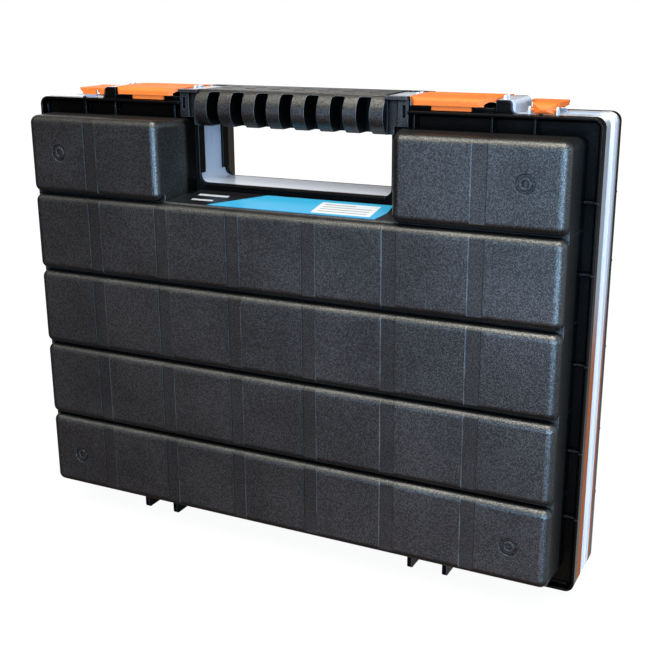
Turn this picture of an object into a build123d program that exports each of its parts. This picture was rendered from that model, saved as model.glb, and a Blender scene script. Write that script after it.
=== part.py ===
# Double-sided small-parts case: two shallow trays standing back to back, each
# closed by a clear cover, joined at the foot by interleaved hinge lugs.
# Units mm, +Z up, origin at the bottom centre, the front tray faces -Y and the
# plane between the two covers is Y = 0. The rear half is the front half turned
# half a turn about Z.
from build123d import *
import os

os.makedirs("parts", exist_ok=True)

# ------------------------------------------------------------ driving sizes
Y_FACE = -50.8                  # row faces
Y_LIP = -23.9                   # front edge of the flange lip
Y_RIM = -16.65                  # tray side of the tray/cover split
Y_COV = -16.55                  # cover side of the split
Y_STEP = -5.2                   # outer step of the cover
Y_MID = -0.4                    # outer face of the cover
Z_BOT, Z_TOP = 21.0, 294.4      # tray body
ZF0, ZF1 = 8.5, 305.0           # flange
ZC0 = 8.8                       # lower edge of the cover
W_FL = 400.2                    # flange width
R_FL = 6.0                      # flange corner radius
X_FACE, X_RIM = 189.2, 191.2    # body half width at the face and at the rim
X_IN_FACE, X_IN_RIM = 84.4, 72.0   # handle opening side walls
T = 2.0                         # wall
Y_BASE = -44.3                  # depth reached by the grooves between rows
GAP = 1.2                       # width of the groove at its root
R_ROW, R_END, R_V = 5.4, 5.4, 5.6
GROOVES = [240.7, 185.5, 130.3, 75.1]
BANDS = [-137.5, -82.5, -27.5, 27.5, 82.5, 137.5]
GUSSET_Z = [257.0, 214.5, 159.0, 103.3, 59.0]   # gussets across the side channel
Y_WALL = -3.0                   # top edge of the inner walls
AX_Z = 3.3                      # hinge axis height
LUGS = [-127.0, -101.7, 88.4, 113.5]   # front lugs, rear ones mirrored
LUG_T, EYE_R = 3.0, 4.5
PIN_R = 2.0
Z_SHIFT = 1.2                   # lifts the lowest point of the lugs to Z = 0
KNUCKLES = [(-124.9, -115.6), (90.5, 99.6)]
Z_LEDGE = GROOVES[0] - GAP / 2  # ledge below the handle opening
OPEN_X, OPEN_Z = 70.3, 251.2    # tray lip round the handle opening
COV_X, COV_Z = 72.3, 251.2      # cover frame round the handle opening
CROWN_Z = 312.6
LATCH_X0, LATCH_X1 = 82.4, 135.4
LATCH_AY, LATCH_AZ = -2.8, 312.0
CLIP_AY, CLIP_AZ = -13.8, 307.5


def x_side(y):
    return X_FACE + (X_RIM - X_FACE) * (y - Y_FACE) / (Y_RIM - Y_FACE)


def x_inner(y):
    return X_IN_FACE + (X_IN_RIM - X_IN_FACE) * (y - Y_FACE) / (Y_RIM - Y_FACE)


# --------------------------------------------------- pillow-shaped row blocks
def pillow(pts, z0, z1, r_low, r_high, r_corner, y_cut=None):
    """Plan outline with rounded face corners, standing from z0 to z1, its
    upper and lower edges rounded (not those on the rim)."""
    with BuildPart() as b:
        with BuildSketch(Plane.XY.offset(z0)) as s:
            with BuildLine():
                Polyline(*pts, close=True)
            make_face()
            fillet(s.vertices().sort_by(Axis.Y)[:2], r_corner)
            if y_cut is not None:
                with Locations((0, y_cut - 50)):
                    Rectangle(600, 100, mode=Mode.SUBTRACT)
        extrude(amount=z1 - z0)
        y_max = max(p[1] for p in pts)
        for height, r in ((z1, r_high), (z0, r_low)):
            if r:
                es = [e for e in b.edges()
                      if abs(e.center().Z - height) < 1e-4
                      and e.center().Y < y_max - 1e-3
                      and e.bounding_box().size.Z < 1e-4]
                fillet(es, r)
    return b.part


FULL = [(-X_RIM, Y_RIM), (-X_FACE, Y_FACE), (X_FACE, Y_FACE), (X_RIM, Y_RIM)]
SIDE_R = [(X_IN_RIM, Y_RIM), (X_IN_FACE, Y_FACE), (X_FACE, Y_FACE), (X_RIM, Y_RIM)]
SIDE_L = [(-x, y) for x, y in SIDE_R]

row_solids = []
lows = [g + GAP / 2 for g in GROOVES] + [Z_BOT]
highs = [Z_TOP] + [g - GAP / 2 for g in GROOVES]
for side in (SIDE_L, SIDE_R):
    row_solids.append(pillow(side, lows[0], highs[0], R_ROW, R_END, R_V))
for k in range(1, 5):
    row_solids.append(pillow(FULL, lows[k], highs[k],
                             R_END if k == 4 else R_ROW, R_ROW, R_V))
row_solids.append(pillow(FULL, 32.0, 234.0, 0, 0, R_V, Y_BASE))
for side in (SIDE_L, SIDE_R):
    row_solids.append(pillow(side, 228.0, 252.0, 0, 0, R_V, Y_BASE))

# ------------------------------------------------------------- compartments
POCKET_Z = [(242.0, 292.4), (186.8, 238.1), (131.6, 184.2), (76.4, 129.0), (23.0, 73.8)]
Y_FLOOR = Y_FACE + T
xf, xr = x_side(Y_FLOOR) - T, X_RIM - T + 0.06
xif, xir = x_inner(Y_FLOOR) + 2.2, X_IN_RIM + 2.2 - 0.36
P_FULL = [(-xr, Y_RIM + 1), (-xf, Y_FLOOR), (xf, Y_FLOOR), (xr, Y_RIM + 1)]
P_R = [(xir, Y_RIM + 1), (xif, Y_FLOOR), (xf, Y_FLOOR), (xr, Y_RIM + 1)]
P_L = [(-x, y) for x, y in P_R]
pockets = []
for pts in (P_L, P_R):
    pockets.append(pillow(pts, *POCKET_Z[0], 4.0, 4.0, 4.4))
for k in range(1, 5):
    pockets.append(pillow(P_FULL, *POCKET_Z[k], 4.0, 4.0, 4.4))

# ------------------------------------------------------ flange with its lip
ZM = (ZF0 + ZF1) / 2
with BuildPart() as flange:
    with BuildSketch(Plane.XZ.offset(-Y_RIM)):
        with Locations((0, ZM)):
            RectangleRounded(W_FL, ZF1 - ZF0, R_FL)
    extrude(amount=Y_RIM - Y_LIP)
    with BuildSketch(Plane.XZ.offset(-Y_RIM + T)):
        with Locations((0, ZM)):
            RectangleRounded(W_FL - 4, ZF1 - ZF0 - 4, R_FL - T)
    extrude(amount=20, mode=Mode.SUBTRACT)
    fillet([e for e in flange.edges() if abs(e.center().Y - Y_LIP) < 1e-4
            and e.bounding_box().size.Y < 1e-4], 0.7)
    fillet([e for e in flange.edges() if abs(e.center().Y - (Y_RIM - T)) < 1e-4
            and e.bounding_box().size.Y < 1e-4], 1.6)


def lug(xc):
    with BuildPart() as b:
        with BuildSketch(Plane.YZ.offset(xc - LUG_T / 2)) as s:
            with BuildLine():
                Polyline((-23.4, 10.0), (-23.4, -Z_SHIFT), (0, AX_Z - EYE_R), (0, AX_Z + EYE_R),
                         (-17.2, AX_Z + EYE_R), (-17.2, 10.0), close=True)
            make_face()
            fillet([v for v in s.vertices() if v.Y < 0.1 and v.X < -20], 2.8)
            with Locations((0, AX_Z)):
                Circle(EYE_R)
        extrude(amount=LUG_T)
    return b.part


lugs = [lug(xc) for xc in LUGS]

with BuildPart() as ledge:
    with BuildSketch(Plane.YZ.offset(-90)):
        with BuildLine():
            Polyline((-45.4, 238.9), (-45.4, Z_LEDGE), (-44.4, 241.0), (-17.6, 246.1),
                     (-17.6, 238.9), close=True)
        make_face()
    extrude(amount=180)
    with BuildSketch(Plane.XY.offset(230)):
        with BuildLine():
            Polyline(*[(sx * (x_inner(y) + 0.9), y) for sx, y in
                       ((-1, -50), (1, -50), (1, -17.6), (-1, -17.6))], close=True)
        make_face()
    extrude(amount=30, mode=Mode.INTERSECT)

with BuildPart() as tray:
    for solid in row_solids:
        add(solid)
    add(flange.part)
    # the handle opening cut out of the flange
    with BuildSketch(Plane.XZ.offset(10)) as s:
        with Locations((0, OPEN_Z + 40)):
            RectangleRounded(2 * OPEN_X, 80, 5.0)
        with Locations((0, 320)):
            Rectangle(2 * OPEN_X, 80)
    extrude(amount=20, mode=Mode.SUBTRACT)
    with BuildSketch(Plane.XZ.offset(-Y_RIM + T)):
        with Locations((0, 310)):
            Rectangle(164.4, 30)
    extrude(amount=20, mode=Mode.SUBTRACT)
    # lip standing up round the opening: cheeks inside the cover frame, sill below it
    with BuildSketch(Plane.XZ.offset(11.6)):
        with Locations((-(OPEN_X + 72.0) / 2, 278.6), ((OPEN_X + 72.0) / 2, 278.6)):
            Rectangle(72.0 - OPEN_X, 42.8)
        with Locations((0, 246.15)):
            Rectangle(132.0, 1.7)
    extrude(amount=6.2)
    with BuildSketch(Plane.YZ.offset(-66.5)):
        with Locations((-18.3, OPEN_Z - 1.6)):
            Circle(1.6)
    extrude(amount=133.0)
    # ledge rising gently towards the back
    add(ledge.part)
    # compartments
    for solid in pockets:
        add(solid, mode=Mode.SUBTRACT)
    with BuildSketch(Plane.YZ.offset(-66.0)):
        with BuildLine():
            Polyline((-42.0, 236.0), (-42.0, 239.3), (-21.0, 243.3), (-21.0, 236.0), close=True)
        make_face()
    extrude(amount=132.0, mode=Mode.SUBTRACT)
    # inner walls between the rows carried up into the cover
    for z0, z1 in ((73.8, 76.4), (129.0, 131.6), (184.2, 186.8), (238.1, 240.1)):
        with BuildSketch(Plane.XY.offset(z0)):
            with Locations((0, (Y_WALL - 24) / 2)):
                Rectangle(374.6, 24 + Y_WALL)
        extrude(amount=z1 - z0)
    with BuildSketch(Plane.XY.offset(240.1)):
        with Locations((-131.0, (Y_WALL - 22) / 2), (131.0, (Y_WALL - 22) / 2)):
            Rectangle(112.4, 22 + Y_WALL)
    extrude(amount=1.9)
    # guide rails for the dividers, in pairs on the inner walls
    with BuildSketch(Plane.XZ.offset(-Y_WALL + 1.0)):
        for z0, z1 in POCKET_Z:
            for xb in BANDS:
                if z0 > 240 and abs(xb) < 100:
                    continue
                for sx in (-1, 1):
                    x = xb + sx * 1.55
                    spots = [(x, z0 + 0.4), (x, z1 - 0.4)]
                    with Locations(*spots):
                        Rectangle(1.1, 1.2)
    extrude(amount=38.0)
    # the guide rails stop short of the cover's lower and upper frame
    for zc in (23.4, 292.0):
        with BuildSketch(Plane.XZ.offset(-Y_RIM - 13.65)):
            with Locations((0, zc)):
                Rectangle(380, 2.4)
        extrude(amount=13.65, mode=Mode.SUBTRACT)
    # column bands, a shallow recess each
    with BuildSketch(Plane.XZ.offset(-Y_FACE - 0.3)):
        for xb in BANDS:
            with Locations((xb, 131)):
                Rectangle(9.6, 240)
            if abs(xb) > 100:
                with Locations((xb, 268)):
                    Rectangle(9.6, 62)
    extrude(amount=3, mode=Mode.SUBTRACT)
    # round marks
    with BuildSketch(Plane.XZ.offset(-Y_FACE - 0.8)):
        with Locations((-163.5, 270), (164.6, 270), (-163.5, 46), (164.6, 46)):
            Circle(6.0)
            Circle(3.7, mode=Mode.SUBTRACT)
            Circle(2.2)
    extrude(amount=3, mode=Mode.SUBTRACT)
    # diagonal feed mark
    with BuildSketch(Plane.XZ.offset(-Y_FACE - 0.4)):
        with Locations((0, 172)):
            SlotOverall(13, 1.6, rotation=38)
    extrude(amount=3, mode=Mode.SUBTRACT)
    # gussets across the channel between the body and the lip
    with BuildSketch(Plane.XZ.offset(-Y_RIM + T - 0.3)):
        with Locations(*[(sx * x, 299.0) for x in (86.2, 135.0, 160.6) for sx in (-1, 1)]):
            Rectangle(1.1, 9.6)
        with Locations(*[(sx * x, 15.5) for x in (40.0, 100.0, 158.0) for sx in (-1, 1)]):
            Rectangle(1.1, 11.4)
    extrude(amount=4.4)
    with BuildSketch(Plane.XZ.offset(-Y_RIM + T - 0.3)):
        with Locations(*[(sx * 194.7, z) for z in GUSSET_Z for sx in (-1, 1)]):
            Rectangle(8.8, 1.1)
    extrude(amount=2.7)
    # fine bead on the lip at each side gusset
    with BuildSketch(Plane.XZ.offset(-Y_LIP - 1.0)):
        with Locations(*[(sx * (W_FL / 2 - 1.0), z) for z in GUSSET_Z for sx in (-1, 1)]):
            Rectangle(2.2, 1.0)
    extrude(amount=1.25)
    # crown posts and the low wall behind the latches
    for sx in (-1, 1):
        with BuildSketch(Plane.XZ.offset(-Y_RIM)) as s:
            with BuildLine():
                Polyline((sx * 136.2, 304.0), (sx * 136.2, CROWN_Z), (sx * 145.3, CROWN_Z),
                         (sx * 145.3, 305.0), (sx * 150.3, 305.0), (sx * 150.3, 304.0), close=True)
            make_face()
            fillet([v for v in s.vertices() if abs(abs(v.X) - 145.3) < 0.01 and v.Y > 312], 2.5)
            fillet([v for v in s.vertices() if abs(abs(v.X) - 145.3) < 0.01 and v.Y < 306], 3.5)
        extrude(amount=3.05)
        with BuildSketch(Plane.XZ.offset(-Y_RIM)):
            with Locations((sx * 109.4, 305.85)):
                Rectangle(55.0, 3.7)
        extrude(amount=T)
    # small nub on the flange
    with BuildSketch(Plane.XY.offset(304.8)):
        with Locations((-163, -20), (163, -20)):
            Circle(1.1)
    extrude(amount=1.0)
    for solid in lugs:
        add(solid)

# the tray as separate shells, one for each row block, and the frame that
# carries them: flange, inner walls, lip and lugs
Y_CUT = Y_RIM - T
CUTS = [Z_TOP] + GROOVES + [Z_BOT]


def region(k, pts, x0, x1):
    with BuildPart() as b:
        with BuildSketch(Plane.XY.offset(CUTS[k + 1])):
            with BuildLine():
                Polyline(*pts, close=True)
            make_face()
            with Locations((0, Y_CUT + 50)):
                Rectangle(600, 100, mode=Mode.SUBTRACT)
            with Locations(((x0 + x1) / 2, -40)):
                Rectangle(x1 - x0, 100, mode=Mode.INTERSECT)
        extrude(amount=CUTS[k] - CUTS[k + 1])
    return b.part


# row 2 is parted again along the edges of two column bands
BIG = 250.0
CUT_A, CUT_B = -87.3, 77.7
SHELLS = [("1_left", 0, SIDE_L, -BIG, BIG), ("1_right", 0, SIDE_R, -BIG, BIG),
          ("2_left", 1, FULL, -BIG, CUT_A), ("2_middle", 1, FULL, CUT_A, CUT_B),
          ("2_right", 1, FULL, CUT_B, BIG), ("3", 2, FULL, -BIG, BIG),
          ("4", 3, FULL, -BIG, BIG), ("5", 4, FULL, -BIG, BIG)]
shells = {}
for tag, k, pts, x0, x1 in SHELLS:
    with BuildPart() as shell:
        add(tray.part)
        add(region(k, pts, x0, x1), mode=Mode.INTERSECT)
    shells[tag] = shell.part
with BuildPart() as frame:
    add(tray.part)
    for tag, k, pts, x0, x1 in SHELLS:
        add(region(k, pts, x0, x1), mode=Mode.SUBTRACT)

with BuildPart() as front_tray:
    add(frame.part)
    with BuildSketch(Plane.YZ.offset(-140)):
        with Locations((0, AX_Z)):
            Circle(PIN_R)
    extrude(amount=280, mode=Mode.SUBTRACT)

with BuildPart() as rear_tray:
    add(frame.part, rotation=(0, 0, 180))
    with BuildSketch(Plane.YZ.offset(-140)):
        with Locations((0, AX_Z)):
            Circle(PIN_R + 0.05)
    extrude(amount=280, mode=Mode.SUBTRACT)

# --------------------------------------------------------------------- cover
ZCM = (ZC0 + ZF1) / 2
with BuildPart() as front_lid:
    # outer rim up to the step, then the raised panel and the crown
    with BuildSketch(Plane.XZ.offset(-Y_STEP)):
        with Locations((0, ZCM)):
            RectangleRounded(W_FL, ZF1 - ZC0, R_FL)
    extrude(amount=Y_STEP - Y_COV)
    with BuildSketch(Plane.XZ.offset(-Y_MID)):
        with Locations((0, ZCM)):
            RectangleRounded(W_FL - 14, ZF1 - ZC0 - 14, 6)
    extrude(amount=Y_MID - Y_COV)
    for sx in (-1, 1):
        with BuildSketch(Plane.XZ.offset(-Y_MID)) as s:
            with Locations((sx * 106.1, 302.3)):
                Rectangle(81.8, 20.6)
            fillet([v for v in s.vertices() if v.Y > 312 and abs(v.X) > 140], 3.0)
        extrude(amount=Y_MID - Y_COV)
    # hollow
    with BuildSketch(Plane.XZ.offset(-Y_STEP + T)):
        with Locations((0, ZCM)):
            RectangleRounded(W_FL - 4, ZF1 - ZC0 - 4, R_FL - T)
        with Locations((0, COV_Z - T + 50)):
            RectangleRounded(2 * (COV_X + T), 100, 7.5, mode=Mode.SUBTRACT)
        with Locations((0, 300)):
            Rectangle(2 * (COV_X + T), 60, mode=Mode.SUBTRACT)
    extrude(amount=20, mode=Mode.SUBTRACT)
    with BuildSketch(Plane.XZ.offset(-Y_MID + T)):
        with Locations((0, ZCM)):
            RectangleRounded(W_FL - 18, ZF1 - ZC0 - 18, 4.2)
        with Locations((0, COV_Z - T + 50)):
            RectangleRounded(2 * (COV_X + T), 100, 7.5, mode=Mode.SUBTRACT)
        with Locations((0, 300)):
            Rectangle(2 * (COV_X + T), 60, mode=Mode.SUBTRACT)
    extrude(amount=20, mode=Mode.SUBTRACT)
    for sx in (-1, 1):
        with BuildSketch(Plane.XZ.offset(-Y_MID + T)):
            with Locations((sx * 77.2, 300.4)):
                Rectangle(5.8, 21.0)
            with Locations((sx * 141.3, 300.4)):
                Rectangle(7.2, 21.0)
        extrude(amount=20, mode=Mode.SUBTRACT)
        # latch bay
        with BuildSketch(Plane.XZ.offset(-2)):
            with Locations((sx * 108.9, 305 + 10)):
                Rectangle(54.0, 20)
        extrude(amount=22, mode=Mode.SUBTRACT)
    # handle opening
    with BuildSketch(Plane.XZ.offset(-2)):
        with Locations((0, COV_Z + 27)):
            RectangleRounded(2 * COV_X, 54, 5.5)
        with Locations((0, 285)):
            Rectangle(2 * COV_X, 40)
        with Locations((0, 320)):
            Rectangle(130.4, 60)
    extrude(amount=22, mode=Mode.SUBTRACT)
    # latch bearings
    for x0, x1 in ((-137.7, -135.9), (-81.9, -80.1), (80.1, 81.9), (135.9, 137.7)):
        with BuildSketch(Plane.YZ.offset(x0)):
            with Locations((LATCH_AY, LATCH_AZ)):
                Circle(2.3)
            with Locations((LATCH_AY, LATCH_AZ - 2.5)):
                Rectangle(4.6, 5)
        extrude(amount=x1 - x0)
    with BuildSketch(Plane.YZ.offset(-137.7)):
        with Locations((LATCH_AY, LATCH_AZ)):
            Circle(0.95)
    extrude(amount=57.6, mode=Mode.SUBTRACT)
    with BuildSketch(Plane.YZ.offset(80.1)):
        with Locations((LATCH_AY, LATCH_AZ)):
            Circle(0.95)
    extrude(amount=57.6, mode=Mode.SUBTRACT)
    # hinge knuckles
    for x0, x1 in KNUCKLES:
        with BuildSketch(Plane.YZ.offset(x0)) as s:
            with BuildLine():
                Polyline((-4.2, AX_Z), (-7.5, 10.4), (-0.9, 10.4), (4.2, AX_Z), close=True)
            make_face()
            with Locations((0, AX_Z)):
                Circle(4.2)
        extrude(amount=x1 - x0)
    with BuildSketch(Plane.YZ.offset(-140)):
        with Locations((0, AX_Z)):
            Circle(PIN_R + 0.05)
    extrude(amount=280, mode=Mode.SUBTRACT)
    # bearing ears for this cover's joining clip, and the catch for the other
    for x0 in (154.3, 170.7):
        with BuildSketch(Plane.YZ.offset(x0)):
            with Locations((CLIP_AY, CLIP_AZ)):
                Circle(1.9)
            with Locations((CLIP_AY, CLIP_AZ - 1.6)):
                Rectangle(3.8, 3.2)
        extrude(amount=1.2)
    with BuildSketch(Plane.YZ.offset(154.0)):
        with Locations((CLIP_AY, CLIP_AZ)):
            Circle(0.95)
    extrude(amount=18.4, mode=Mode.SUBTRACT)
    with BuildSketch(Plane.XY.offset(304.5)):
        with Locations((-164.0, -12.6)):
            Rectangle(12.0, 1.4)
    extrude(amount=1.7)

with BuildPart() as rear_lid:
    add(front_lid.part, rotation=(0, 0, 180))

# -------------------------------------------------------------------- handle
RIBBED = 67.6
with BuildPart() as front_handle:
    with BuildSketch(Plane.YZ.offset(-RIBBED)) as s:
        with BuildLine():
            l1 = Polyline((-20.6, 289.6), (-0.4, 289.6), (-0.4, 313.4), (-20.0, 313.4), (-20.6, 312.8))
            ThreePointArc((-20.6, 312.8), (-27.0, 301.4), (-20.6, 289.6))
        make_face()
    extrude(amount=2 * RIBBED)
    with BuildSketch(Plane.XZ.offset(11.0)):
        with Locations(*[(18.0 * i, 301.5) for i in range(-3, 4)]):
            RectangleRounded(8.8, 20.8, 1.6)
        with Locations(*[(18.0 * i, 292.0) for i in range(-3, 4)]):
            Rectangle(8.8, 10.0)
    extrude(amount=30, mode=Mode.SUBTRACT)
    with BuildSketch(Plane.XZ.offset(-1)):
        with Locations(*[(18.0 * i, 301.2) for i in range(-3, 4)]):
            Rectangle(8.8, 20.2)
    extrude(amount=10.0, mode=Mode.SUBTRACT)
    # notches in the top plate
    with BuildSketch(Plane.XY.offset(308)):
        with Locations(*[(18.0 * i, -6.6) for i in range(-3, 4)]):
            Rectangle(8.2, 3.2)
    extrude(amount=10.0, mode=Mode.SUBTRACT)
    # ends narrowed to pass in front of the cover crown
    for sx in (-1, 1):
        with BuildSketch(Plane.XY.offset(280)):
            with Locations((sx * 69.8, -7.375)):
                Rectangle(10.0, 22.55)
        extrude(amount=40, mode=Mode.SUBTRACT)
        with BuildSketch(Plane.XY.offset(294.9)):
            with Locations((sx * 74.5, -20.1)):
                Rectangle(15.0, 2.9)
        extrude(amount=18.2)
        with BuildSketch(Plane.XY.offset(311.2)):
            with Locations((sx * 74.5, -21.3)):
                Rectangle(15.0, 5.3)
        extrude(amount=1.9)
        with BuildSketch(Plane.XY.offset(289.6)):
            with BuildLine():
                Polyline((sx * 67.0, -18.65), (sx * 67.0, -21.55), (sx * 73.4, -21.55),
                         (sx * 71.4, -18.65), close=True)
            make_face()
        extrude(amount=5.4)
        # pocket before the bracket plate and a slot in it
        with BuildSketch(Plane.XZ.offset(20.0)):
            with Locations((sx * 71.9, 300.4)):
                Rectangle(6.8, 21.6)
            with Locations((sx * 79.2, 304.0)):
                SlotOverall(8.0, 2.2, rotation=90)
        extrude(amount=8, mode=Mode.SUBTRACT)

with BuildPart() as rear_handle:
    add(front_handle.part, rotation=(0, 0, 180))


# ------------------------------------------------------------------- latches
def latch_at(sign):
    x0 = LATCH_X0 if sign > 0 else -LATCH_X1
    with BuildPart() as b:
        with BuildSketch(Plane.YZ.offset(x0)) as s:
            with BuildLine():
                Polyline((-19.2, 313.1), (-10.0, 313.5), (-2.8, 313.6), (-2.8, 311.4),
                         (-10.0, 311.3), (-18.4, 311.0), (-20.0, 309.6), (-20.0, 308.2),
                         (-21.8, 308.2), (-21.8, 310.5))
                ThreePointArc((-21.8, 310.5), (-21.04, 312.34), (-19.2, 313.1))
            make_face()
            with Locations((LATCH_AY, LATCH_AZ)):
                Circle(1.6)
        extrude(amount=LATCH_X1 - LATCH_X0)
        # corners of the free end taken off
        x1 = x0 + LATCH_X1 - LATCH_X0
        for xa, xb, dy in ((x0 - 0.1, x0 + 3.2, 3.2), (x1 + 0.1, x1 - 9.0, 6.0)):
            with BuildSketch(Plane.XY.offset(300)):
                with BuildLine():
                    Polyline((xa, -22.5), (xb, -22.5), (xb, -21.8), (xa, -21.8 + dy), close=True)
                make_face()
            extrude(amount=20, mode=Mode.SUBTRACT)
        # hook below the free edge
        with BuildSketch(Plane.YZ.offset(x0 + 14.0)):
            with BuildLine():
                Polyline((-20.6, 305.4), (-20.6, 308.6), (-21.4, 308.6), (-21.4, 310.4),
                         (-19.2, 311.2), (-19.2, 307.2), (-18.8, 306.6), (-19.2, 305.4), close=True)
            make_face()
        extrude(amount=25.0)
        with BuildSketch(Plane.YZ.offset(x0 - 1.5)):
            with Locations((LATCH_AY, LATCH_AZ)):
                Circle(0.9)
        extrude(amount=LATCH_X1 - LATCH_X0 + 3.0)
    return b.part


latch_r, latch_l = latch_at(1), latch_at(-1)
with BuildPart() as front_latch_right:
    add(latch_r)
with BuildPart() as front_latch_left:
    add(latch_l)
with BuildPart() as rear_latch_right:
    add(latch_l, rotation=(0, 0, 180))
with BuildPart() as rear_latch_left:
    add(latch_r, rotation=(0, 0, 180))

# ------------------------------------------------------------- joining clips
with BuildPart() as joining_clip_right:
    # top plate running down into the rounded bearing end
    with BuildSketch(Plane.YZ.offset(148.0)) as s:
        with BuildLine():
            Polyline((-9.0, 311.3), (15.5, 311.3), (15.5, 309.7), (-9.0, 309.7), (-12.0, 308.6),
                     (-16.05, 307.5))
            ThreePointArc((-16.05, 307.5), (-13.9, 310.5), (-9.0, 311.3))
        make_face()
    extrude(amount=26.0)
    with BuildSketch(Plane.YZ.offset(155.8)):
        with Locations((CLIP_AY, CLIP_AZ)):
            Circle(2.25)
    extrude(amount=14.6)
    # side rims
    with BuildSketch(Plane.XY.offset(308.3)):
        with Locations((156.0, 2.5), (170.4, 2.5)):
            Rectangle(1.2, 21.0)
    extrude(amount=1.8)
    # outline: bowed bearing end, broader catch end
    with BuildSketch(Plane.XY.offset(300)) as s:
        with BuildLine():
            Polyline((156.0, -12.9), (156.0, -10.9), (155.3, -9.9), (155.3, 1.0), (149.4, 8.5),
                     (149.4, 15.5), (170.9, 15.5), (170.9, -9.9), (170.2, -10.9), (170.2, -12.9))
            ThreePointArc((170.2, -12.9), (163.1, -16.2), (156.0, -12.9))
        make_face()
        fillet([v for v in s.vertices() if v.Y > 15], 1.6)
    extrude(amount=15, mode=Mode.INTERSECT)
    with BuildSketch(Plane.YZ.offset(154.5)):
        with Locations((CLIP_AY, CLIP_AZ)):
            Circle(0.9)
    extrude(amount=17.2)
    # catch end: broad tongue, slot, narrow post
    with BuildSketch(Plane.YZ.offset(156.6)):
        with BuildLine():
            Polyline((15.4, 310.0), (15.4, 306.6), (13.9, 306.6), (13.9, 307.2), (14.2, 307.6),
                     (14.2, 310.0), close=True)
        make_face()
    extrude(amount=11.5)
    with BuildSketch(Plane.XZ.offset(-15.4)) as s:
        with Locations((151.6, 308.4)):
            Rectangle(4.0, 3.4)
        fillet([v for v in s.vertices() if v.Y < 308], 1.5)
    extrude(amount=1.2)

with BuildPart() as joining_clip_left:
    add(joining_clip_right.part, rotation=(0, 0, 180))


# -------------------------------------------------------------------- pins
def hinge_pin(x0, x1):
    with BuildPart() as b:
        with BuildSketch(Plane.YZ.offset(x0)):
            with Locations((0, AX_Z)):
                Circle(PIN_R)
        extrude(amount=x1 - x0)
        for xa in (x0, x1 - 1.0):
            with BuildSketch(Plane.YZ.offset(xa)):
                with Locations((0, AX_Z)):
                    Circle(3.1)
            extrude(amount=1.0)
    return b.part


with BuildPart() as hinge_pin_left:
    add(hinge_pin(-129.9, -85.5))
with BuildPart() as hinge_pin_right:
    add(hinge_pin(85.5, 129.9))


# ----------------------------------------------------------------- dividers
DIV_T = 1.8
DIV_X = {2: [-82.5, 82.5], 3: [-82.5, 82.5], 4: [-82.5, 82.5], 5: [-137.5, -27.5, 82.5]}


def divider(x, k):
    z0, z1 = POCKET_Z[k - 1]
    with BuildPart() as b:
        with BuildSketch(Plane.YZ.offset(x - DIV_T / 2)) as s:
            with Locations(((Y_FLOOR + Y_WALL) / 2, (z0 + z1) / 2)):
                Rectangle(Y_WALL - Y_FLOOR, z1 - z0)
            fillet([v for v in s.vertices() if v.X < -40], 6.2)
            if k == 5:
                with Locations((-8.0, z0)):
                    Rectangle(20.0, 7.0, mode=Mode.SUBTRACT)
            # finger notch in the free edge
            with Locations((Y_WALL, (z0 + z1) / 2)):
                Circle(6.0, mode=Mode.SUBTRACT)
        extrude(amount=DIV_T)
    return b.part


# --------------------------------------------------------------------- label
LEDGE_N = (0.0, -5.1, 26.8)
with BuildPart() as front_label:
    with BuildSketch(Plane(origin=(0, -44.4, 241.0), x_dir=(1, 0, 0), z_dir=LEDGE_N)):
        with BuildLine():
            Polyline((-76.0, 0.9), (69.8, 0.9), (73.4, 12.0), (72.4, 25.2), (-70.4, 25.2), close=True)
        make_face()
    extrude(amount=0.2)

parts = {
    "front_tray": front_tray.part, "rear_tray": rear_tray.part,
    "front_lid": front_lid.part, "rear_lid": rear_lid.part,
    "front_handle": front_handle.part, "rear_handle": rear_handle.part,
    "front_latch_left": front_latch_left.part, "front_latch_right": front_latch_right.part,
    "rear_latch_left": rear_latch_left.part, "rear_latch_right": rear_latch_right.part,
    "joining_clip_left": joining_clip_left.part, "joining_clip_right": joining_clip_right.part,
    "hinge_pin_left": hinge_pin_left.part, "hinge_pin_right": hinge_pin_right.part,
    "front_label": front_label.part,
}
for k, xs in DIV_X.items():
    for i, x in enumerate(xs):
        with BuildPart() as front_divider:
            add(divider(x, k))
        with BuildPart() as rear_divider:
            add(front_divider.part, rotation=(0, 0, 180))
        parts["front_divider_%d%s" % (k, "abc"[i])] = front_divider.part
        parts["rear_divider_%d%s" % (k, "abc"[i])] = rear_divider.part

OTHER = {"1_left": "1_right", "1_right": "1_left", "2_left": "2_right", "2_right": "2_left"}
for tag, shell in shells.items():
    with BuildPart() as front_row:
        add(shell)
    with BuildPart() as rear_row:
        add(shell, rotation=(0, 0, 180))
    parts["front_row_" + tag] = front_row.part
    parts["rear_row_" + OTHER.get(tag, tag)] = rear_row.part

for name, part in parts.items():
    part = part.moved(Location((0, 0, Z_SHIFT)))
    part.label = name
    print(name, len(part.solids()), round(part.volume, 1))
    export_step(part, "parts/%s.step" % name)
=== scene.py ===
import math

import bmesh
import bpy
from mathutils import Matrix, Vector

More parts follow.
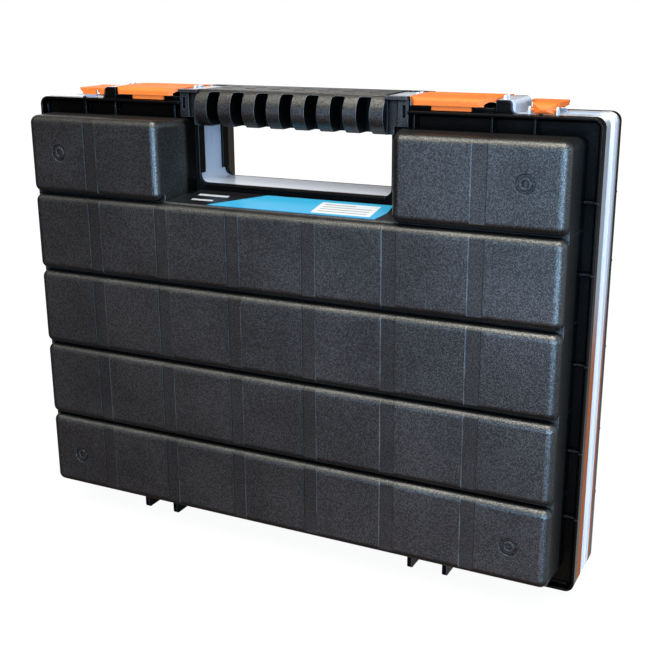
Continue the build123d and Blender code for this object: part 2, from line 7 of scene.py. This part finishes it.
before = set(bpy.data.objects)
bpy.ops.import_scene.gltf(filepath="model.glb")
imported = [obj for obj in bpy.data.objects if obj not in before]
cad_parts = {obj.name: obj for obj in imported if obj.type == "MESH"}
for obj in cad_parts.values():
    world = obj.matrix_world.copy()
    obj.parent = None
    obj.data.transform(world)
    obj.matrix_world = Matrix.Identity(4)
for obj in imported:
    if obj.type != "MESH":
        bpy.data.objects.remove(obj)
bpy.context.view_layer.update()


# ------------------------------------------------------------------ node help
class Mat:
    """A small builder for node materials."""

    def __init__(self, name):
        self.m = bpy.data.materials.new(name)
        self.m.use_nodes = True
        self.t = self.m.node_tree
        self.t.nodes.clear()
        self.out = self.t.nodes.new("ShaderNodeOutputMaterial")
        self.b = self.t.nodes.new("ShaderNodeBsdfPrincipled")
        self.t.links.new(self.b.outputs[0], self.out.inputs[0])

    def new(self, kind, **kw):
        n = self.t.nodes.new(kind)
        for k, v in kw.items():
            setattr(n, k, v)
        return n

    def link(self, a, b):
        self.t.links.new(a, b)

    def put(self, name, value):
        self.b.inputs[name].default_value = value

    def coords(self):
        if not hasattr(self, "_co"):
            self._co = self.new("ShaderNodeTexCoord")
            self._xyz = self.new("ShaderNodeSeparateXYZ")
            self.link(self._co.outputs["Object"], self._xyz.inputs[0])
        return self._co.outputs["Object"], self._xyz.outputs

    def math(self, op, a, b=None, c=None, clamp=False):
        n = self.new("ShaderNodeMath", operation=op, use_clamp=clamp)
        for i, v in enumerate((a, b, c)):
            if v is None:
                continue
            if isinstance(v, (int, float)):
                n.inputs[i].default_value = v
            else:
                self.link(v, n.inputs[i])
        return n.outputs[0]

    def step(self, value, lo, hi):
        """0 below lo, 1 above hi, smooth between."""
        n = self.new("ShaderNodeMapRange", interpolation_type="SMOOTHSTEP")
        self.link(value, n.inputs["Value"])
        n.inputs["From Min"].default_value = lo
        n.inputs["From Max"].default_value = hi
        return n.outputs["Result"]

    def noise(self, scale, detail=2.0, rough=0.5, vec=None, w=None):
        n = self.new("ShaderNodeTexNoise")
        n.inputs["Scale"].default_value = scale
        n.inputs["Detail"].default_value = detail
        n.inputs["Roughness"].default_value = rough
        self.link(vec if vec is not None else self.coords()[0], n.inputs["Vector"])
        return n.outputs["Fac"]

    def mix(self, fac, a, b):
        n = self.new("ShaderNodeMix", data_type="RGBA")
        self.link(fac, n.inputs[0]) if not isinstance(fac, (int, float)) else setattr(n.inputs[0], "default_value", fac)
        for sock, v in ((n.inputs[6], a), (n.inputs[7], b)):
            if isinstance(v, tuple):
                sock.default_value = (*v, 1.0)
            else:
                self.link(v, sock)
        return n.outputs[2]

    def bump(self, height, distance, strength=1.0, normal=None):
        n = self.new("ShaderNodeBump")
        n.inputs["Strength"].default_value = strength
        n.inputs["Distance"].default_value = distance
        self.link(height, n.inputs["Height"])
        if normal is not None:
            self.link(normal, n.inputs["Normal"])
        return n.outputs[0]

    def bevel(self, radius):
        n = self.new("ShaderNodeBevel", samples=4)
        n.inputs["Radius"].default_value = radius
        return n.outputs[0]


def plastic_black(name, grain=1.0, rough=0.34, tone=(0.0030, 0.0027, 0.0026), flange=True,
                  radius=0.0005, reach=0.022, spec=0.72, occ_lo=0.06, occ_hi=0.62):
    """Moulded black plastic: fine grain, glossier in the flange, and darker there as painted shade of the channel."""
    m = Mat(name)
    co, (x, y, z) = m.coords()
    cloud = m.noise(24.0, 3.0)
    speck = m.noise(1350.0, 2.0, 0.6)
    fine = m.noise(2300.0, 1.0, 0.5)
    # occlusion of the recesses, used below as painted shade
    ao = m.new("ShaderNodeAmbientOcclusion", samples=6, only_local=False)
    ao.inputs["Distance"].default_value = reach
    occ = m.step(ao.outputs["AO"], occ_lo, occ_hi)
    # small recesses close by, also used as painted shade
    ao2 = m.new("ShaderNodeAmbientOcclusion", samples=4, only_local=True)
    ao2.inputs["Distance"].default_value = 0.0022
    near = m.step(ao2.outputs["AO"], 0.55, 0.96)
    # painted highlight: convex edges are coloured pale blue where the rounded normal leaves the face normal
    bev = m.bevel(radius)
    geo = m.new("ShaderNodeNewGeometry")
    away = m.new("ShaderNodeVectorMath", operation="DOT_PRODUCT")
    m.link(m.bevel(0.0007), away.inputs[0])
    m.link(geo.outputs["Normal"], away.inputs[1])
    edge = m.math("MULTIPLY", m.step(m.math("SUBTRACT", 1.0, away.outputs["Value"]), 0.03, 0.25), near)
    if flange:
        depth = m.math("ABSOLUTE", y)
        flange_smooth_and_shade = m.math("SUBTRACT", 1.0, m.step(depth, 0.0250, 0.0285))
    else:
        flange_smooth_and_shade = None
    tone_a = m.mix(m.step(cloud, 0.3, 0.7), tone, tuple(c * 1.2 for c in tone))
    lift = m.math("MULTIPLY", m.step(speck, 0.50, 0.74), m.math("SUBTRACT", 1.0, flange_smooth_and_shade) if flange_smooth_and_shade is not None else 1.0)
    col = m.mix(m.math("MULTIPLY", lift, 0.55), tone_a, tuple(c * 3.4 for c in tone))
    dark = m.new("ShaderNodeVectorMath", operation="SCALE")
    m.link(col, dark.inputs[0])
    # painted shade: the base colour is darkened by occlusion in recesses and small hollows
    shade = m.math("ADD", 0.12, m.math("MULTIPLY", occ, 0.88))
    # painted shade: the flange channel's colour is darkened
    if flange_smooth_and_shade is not None:
        shade = m.math("MULTIPLY", shade, m.math("SUBTRACT", 1.0, m.math("MULTIPLY", flange_smooth_and_shade, 0.7)))
    shade = m.math("MULTIPLY", shade, m.math("ADD", 0.35, m.math("MULTIPLY", near, 0.65)))
    m.link(shade, dark.inputs["Scale"])
    # painted highlight on convex edges
    body = m.mix(m.math("MULTIPLY", edge, 0.60 if not flange else 0.45), dark.outputs[0], (0.070, 0.090, 0.115))
    if flange:
        # painted highlight: a light line along one edge of each column band on the faces
        band_edge_highlight = None
        for c in (-0.1327, -0.0777, -0.0227, 0.0323, 0.0777, 0.1327):
            b = m.math("SUBTRACT", 1.0, m.step(m.math("ABSOLUTE", m.math("SUBTRACT", x, c)), 0.00016, 0.00046))
            band_edge_highlight = b if band_edge_highlight is None else m.math("MAXIMUM", band_edge_highlight, b)
        band_edge_highlight = m.math("MULTIPLY", band_edge_highlight, m.step(m.math("ABSOLUTE", y), 0.0488, 0.0500))
        band_edge_highlight = m.math("MULTIPLY", band_edge_highlight, m.step(m.noise(55.0, 2.0), 0.30, 0.62))
        body = m.mix(m.math("MULTIPLY", band_edge_highlight, 0.46), body, (0.080, 0.092, 0.105))
        # painted shade: the other edge is darkened
        band_edge_shade = None
        for c in (-0.1423, -0.0873, -0.0323, 0.0227):
            b = m.math("SUBTRACT", 1.0, m.step(m.math("ABSOLUTE", m.math("SUBTRACT", x, c)), 0.0006, 0.0009))
            band_edge_shade = b if band_edge_shade is None else m.math("MAXIMUM", band_edge_shade, b)
        band_edge_shade = m.math("MULTIPLY", band_edge_shade, m.step(m.math("ABSOLUTE", y), 0.0485, 0.0495))
        low = m.new("ShaderNodeVectorMath", operation="SCALE")
        m.link(body, low.inputs[0])
        m.link(m.math("SUBTRACT", 1.0, m.math("MULTIPLY", band_edge_shade, 0.5)), low.inputs["Scale"])
        body = low.outputs[0]
    m.link(body, m.b.inputs["Base Color"])
    r = m.math("ADD", m.math("MULTIPLY", cloud, 0.05), rough - 0.025)
    # painted shade: the specular is lowered by the same occlusion
    sp = m.math("MULTIPLY", m.math("ADD", 0.10, m.math("MULTIPLY", occ, 0.90)), spec)
    sp = m.math("MULTIPLY", sp, m.math("ADD", 0.25, m.math("MULTIPLY", near, 0.75)))
    sp = m.math("MULTIPLY", sp, m.math("ADD", 0.56, m.math("MULTIPLY", m.step(speck, 0.38, 0.66), 0.92)))
    # the flange is smoother, and its specular is lowered as painted shade of the channel
    if flange_smooth_and_shade is not None:
        r = m.math("SUBTRACT", r, m.math("MULTIPLY", flange_smooth_and_shade, rough - 0.20))
        sp = m.math("MULTIPLY", sp, m.math("SUBTRACT", 1.0, m.math("MULTIPLY", flange_smooth_and_shade, 0.88)))
    g = m.math("ADD", m.math("MULTIPLY", speck, 0.7), m.math("MULTIPLY", fine, 0.5))
    if flange:
        # the column bands are smoother than the panels between them
        band = None
        for c in (-0.1375, -0.0825, -0.0275, 0.0275, 0.0825, 0.1375):
            b = m.math("SUBTRACT", 1.0, m.step(m.math("ABSOLUTE", m.math("SUBTRACT", x, c)), 0.0044, 0.0050))
            band = b if band is None else m.math("MAXIMUM", band, b)
        g = m.math("MULTIPLY", g, m.math("SUBTRACT", 1.0, m.math("MULTIPLY", band, 0.55)))
    sp = m.math("MULTIPLY", sp, m.math("ADD", 0.84, m.math("MULTIPLY", m.step(m.noise(17.0, 3.0, 0.6), 0.36, 0.64), 0.32)))
    # painted shade at the other band edge also lowers the specular; the bands themselves a little
    if flange:
        sp = m.math("MULTIPLY", sp, m.math("SUBTRACT", 1.0, m.math("ADD", m.math("MULTIPLY", band_edge_shade, 0.28), m.math("MULTIPLY", band, 0.10))))
    m.link(r, m.b.inputs["Roughness"])
    m.link(sp, m.b.inputs["Specular IOR Level"])
    if flange_smooth_and_shade is not None:
        g = m.math("MULTIPLY", g, m.math("SUBTRACT", 1.0, m.math("MULTIPLY", flange_smooth_and_shade, 0.95)))
    nrm = m.bump(g, 0.00022 * grain, 0.6, bev)
    m.link(nrm, m.b.inputs["Normal"])
    m.put("IOR", 1.5)
    return m.m


tray_mat = plastic_black("tray_black")
# harder occlusion range on the handle: deeper painted shade in the rib pockets and recessed brackets
handle_mat = plastic_black("handle_black", grain=1.1, rough=0.33, flange=False, radius=0.0004, reach=0.020,
                           occ_lo=0.42, occ_hi=0.92)
divider_mat = plastic_black("divider_black", grain=0.3, rough=0.35, flange=False, radius=0.0003)

# clear covers
m = Mat("cover_clear")
co, (x, y, z) = m.coords()
# painted shade: the outer side of the front cover is coloured dark grey, tan towards the foot, and made opaque
side = m.math("MULTIPLY", m.step(m.math("ABSOLUTE", x), 0.1982, 0.1994),
              m.math("MAXIMUM", m.math("SUBTRACT", 1.0, m.step(y, -0.0070, -0.0062)), m.step(y, 0.0120, 0.0128)))
side_shade = m.mix(m.step(z, 0.145, 0.215), (0.27, 0.070, 0.022), (0.22, 0.22, 0.225))
# painted light: the cover beyond the body's width is coloured lighter than inside it, where it lies in shade
outer_lit_strip = m.math("MULTIPLY", m.step(m.math("ABSOLUTE", x), 0.1905, 0.1915), m.math("SUBTRACT", 1.0, side))
m.link(m.mix(side, m.mix(outer_lit_strip, (0.52, 0.55, 0.63), (0.80, 0.79, 0.90)), side_shade), m.b.inputs["Base Color"])
m.link(m.math("ADD", 0.16, m.math("MULTIPLY", side, 0.25)), m.b.inputs["Roughness"])
m.link(m.math("SUBTRACT", 0.34, m.math("MULTIPLY", side, 0.33)), m.b.inputs["Specular IOR Level"])
m.link(m.math("MULTIPLY", m.math("SUBTRACT", 1.0, side), 0.35), m.b.inputs["Transmission Weight"])
m.put("IOR", 1.36)
fl = m.noise(60.0, 2.0)
m.link(m.bump(fl, 0.0006, 0.25), m.b.inputs["Normal"])
cover_mat = m.m

# orange latches and clips
m = Mat("latch_orange")
co, (x, y, z) = m.coords()
cl = m.noise(40.0, 2.0)
m.link(m.mix(m.step(cl, 0.3, 0.7), (0.57, 0.116, 0.015), (0.53, 0.102, 0.012)), m.b.inputs["Base Color"])
m.put("Roughness", 0.5)
m.put("Specular IOR Level", 0.25)
diag = m.math("ADD", m.math("MULTIPLY", x, 1.0), m.math("MULTIPLY", y, 2.4))
wave = m.math("SINE", m.math("MULTIPLY", diag, 2 * math.pi / 0.0034))
hgt = m.math("ADD", m.math("MULTIPLY", wave, 0.35), m.noise(700.0, 2.0))
m.link(m.bump(hgt, 0.00012, 0.5, m.bevel(0.0004)), m.b.inputs["Normal"])
m.put("Subsurface Weight", 0.12)
m.put("Subsurface Radius", (0.004, 0.0012, 0.0004))
m.put("Subsurface Scale", 1.0)
orange_mat = m.m

# steel pins
m = Mat("pin_dark")
m.put("Base Color", (0.32, 0.32, 0.33, 1.0))
m.put("Metallic", 1.0)
m.put("Roughness", 0.33)
pin_mat = m.m

# label sheet: dark field, bright blue field, plain pale panel
m = Mat("label_sheet")
co, (x, y, z) = m.coords()
slant = m.math("ADD", x, m.math("MULTIPLY", y, -1.35))
blue = m.step(slant, 0.0085, 0.0090)
base = m.mix(blue, (0.004, 0.004, 0.005), (0.022, 0.205, 0.36))
# painted highlight: the back of the label is coloured lighter
shade = m.mix(m.step(y, -0.043, -0.022), (1.0, 1.0, 1.0), (1.15, 1.1, 1.02))
mul = m.new("ShaderNodeMix", data_type="RGBA", blend_type="MULTIPLY")
mul.inputs[0].default_value = 1.0
m.link(base, mul.inputs[6]); m.link(shade, mul.inputs[7])
col = mul.outputs[2]
label_nodes = m


def rect(m, x, y, x0, x1, y0, y1, soft=0.0002):
    a = m.math("MULTIPLY", m.step(x, x0 - soft, x0), m.math("SUBTRACT", 1.0, m.step(x, x1, x1 + soft)))
    b = m.math("MULTIPLY", m.step(y, y0 - soft, y0), m.math("SUBTRACT", 1.0, m.step(y, y1, y1 + soft)))
    return m.math("MULTIPLY", a, b)


col = m.mix(rect(m, x, y, 0.0250, 0.0655, -0.0410, -0.0235), col, (0.42, 0.43, 0.45))
for k in range(4):
    y0 = -0.0380 + 0.0036 * k
    col = m.mix(rect(m, x, y, 0.0285, 0.0620 if k != 3 else 0.0500, y0, y0 + 0.0009), col, (0.13, 0.135, 0.14))
col = m.mix(rect(m, x, y, -0.0660, -0.0430, -0.0290, -0.0262), col, (0.30, 0.31, 0.32))
col = m.mix(rect(m, x, y, -0.0660, -0.0500, -0.0375, -0.0352), col, (0.30, 0.31, 0.32))
m.link(col, m.b.inputs["Base Color"])
m.put("Roughness", 0.28)
m.put("Coat Weight", 0.05)
m.put("Coat Roughness", 0.12)
label_mat = m.m

BY_NODE = {}
for name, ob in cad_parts.items():
    if "tray" in name or "_row_" in name:
        mat = tray_mat
    elif "lid" in name:
        mat = cover_mat
    elif "handle" in name:
        mat = handle_mat
    elif "latch" in name or "clip" in name:
        mat = orange_mat
    elif "pin" in name:
        mat = pin_mat
    elif "label" in name:
        mat = label_mat
    else:
        mat = divider_mat
    ob.data.materials.clear()
    ob.data.materials.append(mat)

# ---------------------------------------------------------------------- stage
bm = bmesh.new()
bmesh.ops.create_grid(bm, x_segments=1, y_segments=1, size=6.0)
me = bpy.data.meshes.new("floor")
bm.to_mesh(me); bm.free()
floor = bpy.data.objects.new("floor", me)
bpy.context.scene.collection.objects.link(floor)
fm = bpy.data.materials.new("floor")
fm.use_nodes = True
t = fm.node_tree
t.nodes.clear()
o = t.nodes.new("ShaderNodeOutputMaterial")
mx = t.nodes.new("ShaderNodeMixShader")
em = t.nodes.new("ShaderNodeEmission")
df = t.nodes.new("ShaderNodeBsdfDiffuse")
em.inputs["Strength"].default_value = 1.0
df.inputs["Color"].default_value = (0.9, 0.9, 0.9, 1)
mx.inputs[0].default_value = 0.06
t.links.new(em.outputs[0], mx.inputs[1])
t.links.new(df.outputs[0], mx.inputs[2])
t.links.new(mx.outputs[0], o.inputs[0])
me.materials.append(fm)
floor.visible_glossy = False
floor.visible_diffuse = False

world = bpy.data.worlds.new("studio")
world.use_nodes = True
bpy.context.scene.world = world
t = world.node_tree
t.nodes.clear()
wo = t.nodes.new("ShaderNodeOutputWorld")
bg = t.nodes.new("ShaderNodeBackground")
bw = t.nodes.new("ShaderNodeBackground")
bw.inputs[0].default_value = (1, 1, 1, 1)
mx = t.nodes.new("ShaderNodeMixShader")
lp = t.nodes.new("ShaderNodeLightPath")
mxm = t.nodes.new("ShaderNodeMath"); mxm.operation = "MAXIMUM"
t.links.new(lp.outputs["Is Camera Ray"], mxm.inputs[0])
t.links.new(lp.outputs["Is Transmission Ray"], mxm.inputs[1])
t.links.new(mxm.outputs[0], mx.inputs[0])
t.links.new(bg.outputs[0], mx.inputs[1])
t.links.new(bw.outputs[0], mx.inputs[2])
t.links.new(mx.outputs[0], wo.inputs[0])
tc = t.nodes.new("ShaderNodeTexCoord")
LOBES = [
    # soft blue box in front
    ((0.18, -0.98, 0.06), 20.0, (5.0, 9.0, 13.6)),
    # weak neutral fill further left
    ((-0.26, -0.94, -0.12), 14.0, (0.52, 0.40, 0.38)),
    # dim warm floor bounce in front
    ((0.10, -0.88, -0.46), 16.0, (0.75, 0.40, 0.24)),
    # boxes in front above and overhead
    ((0.08, -0.56, 0.83), 10.0, (8.8, 8.7, 7.8)),
    ((-0.02, -0.28, 0.96), 22.0, (11.5, 11.3, 10.2)),
    # cool light for the upright edges
    ((0.61, -0.79, 0.00), 45.0, (13.0, 20.0, 28.0)),
    # white panel on the right
    ((0.95, 0.02, 0.25), 4.0, (1.5, 1.9, 2.2)),
    # bright backdrop behind, strongest on the left
    ((-0.66, 0.70, 0.26), 22.0, (1.6, 1.62, 1.65)),
    # low fill for the far side
    ((0.10, 0.76, -0.64), 14.0, (0.75, 0.78, 0.82)),
]
total = None
for d, power, colour in LOBES:
    n = Vector(d).normalized()
    dot = t.nodes.new("ShaderNodeVectorMath"); dot.operation = "DOT_PRODUCT"
    t.links.new(tc.outputs["Generated"], dot.inputs[0])
    dot.inputs[1].default_value = n
    mx0 = t.nodes.new("ShaderNodeMath"); mx0.operation = "MAXIMUM"; mx0.inputs[1].default_value = 0.0
    t.links.new(dot.outputs["Value"], mx0.inputs[0])
    pw = t.nodes.new("ShaderNodeMath"); pw.operation = "POWER"; pw.inputs[1].default_value = power
    t.links.new(mx0.outputs[0], pw.inputs[0])
    sc = t.nodes.new("ShaderNodeVectorMath"); sc.operation = "SCALE"
    sc.inputs[0].default_value = colour
    t.links.new(pw.outputs[0], sc.inputs["Scale"])
    ad = t.nodes.new("ShaderNodeVectorMath"); ad.operation = "ADD"
    t.links.new(sc.outputs[0], ad.inputs[0])
    if total is None:
        ad.inputs[1].default_value = (0.080, 0.052, 0.036)
    else:
        t.links.new(total, ad.inputs[1])
    total = ad.outputs[0]
t.links.new(total, bg.inputs[0])

sc = bpy.context.scene
sc.view_settings.view_transform = "Standard"
sc.view_settings.look = "None"

# --------------------------------------------------------------------- camera
cam_d = bpy.data.cameras.new("camera")
cam = bpy.data.objects.new("camera", cam_d)
sc.collection.objects.link(cam)
cam_d.lens = 59.48
cam_d.sensor_width = 36.0
az, el, roll = math.radians(26.59), math.radians(16.72), math.radians(-0.38)
back = Vector((math.sin(az) * math.cos(el), -math.cos(az) * math.cos(el), math.sin(el)))
right = (-back).cross(Vector((0, 0, 1))).normalized()
up = right.cross(-back)
r2 = right * math.cos(roll) + up * math.sin(roll)
u2 = -right * math.sin(roll) + up * math.cos(roll)
pos = Vector((0.0410, -0.05085, 0.1726)) + back * 0.6815
cam.matrix_world = Matrix((
    (r2.x, u2.x, back.x, pos.x),
    (r2.y, u2.y, back.y, pos.y),
    (r2.z, u2.z, back.z, pos.z),
    (0, 0, 0, 1)))
cam_d.clip_start, cam_d.clip_end = 0.01, 50
sc.camera = cam
